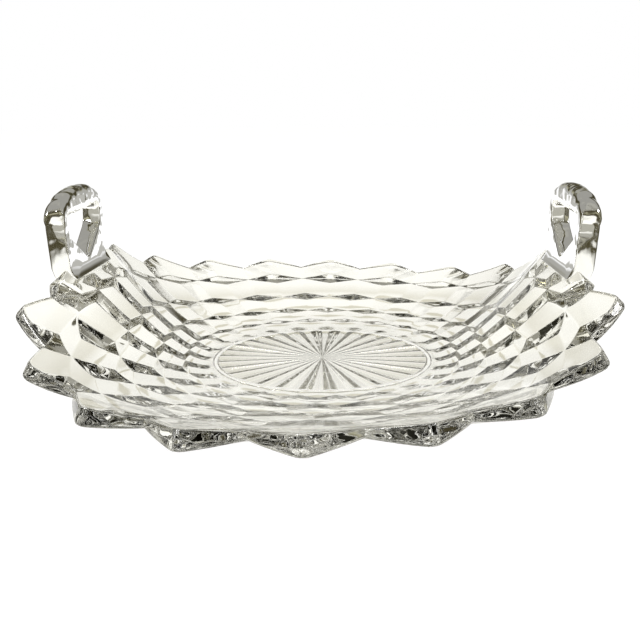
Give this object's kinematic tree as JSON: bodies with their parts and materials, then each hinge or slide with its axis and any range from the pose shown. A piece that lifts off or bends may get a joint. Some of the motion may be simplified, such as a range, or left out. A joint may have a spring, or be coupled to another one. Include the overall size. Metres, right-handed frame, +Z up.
{
  "type": "serving tray",
  "caption": "Clear pressed-glass serving tray: a round dish whose sides turn up into loop handles, with a zigzag rim, block facets underneath and a star in its foot.",
  "frame": {"origin": "centre of the foot ring on the table", "axes": "+Z up, handles on the X axis, the long open ends of the dish towards +Y and -Y; the front of the picture is -Y"},
  "size_m": [0.2, 0.2594, 0.0727],
  "materials": {
    "clear_glass": "fire-polished"
  },
  "bodies": {
    "root": {"star_base": "clear_glass", "foot_ring": "clear_glass", "front_wall": "clear_glass", "back_wall": "clear_glass", "left_wall": "clear_glass", "right_wall": "clear_glass", "left_handle": "clear_glass", "right_handle": "clear_glass"}
  },
  "joints": []
}
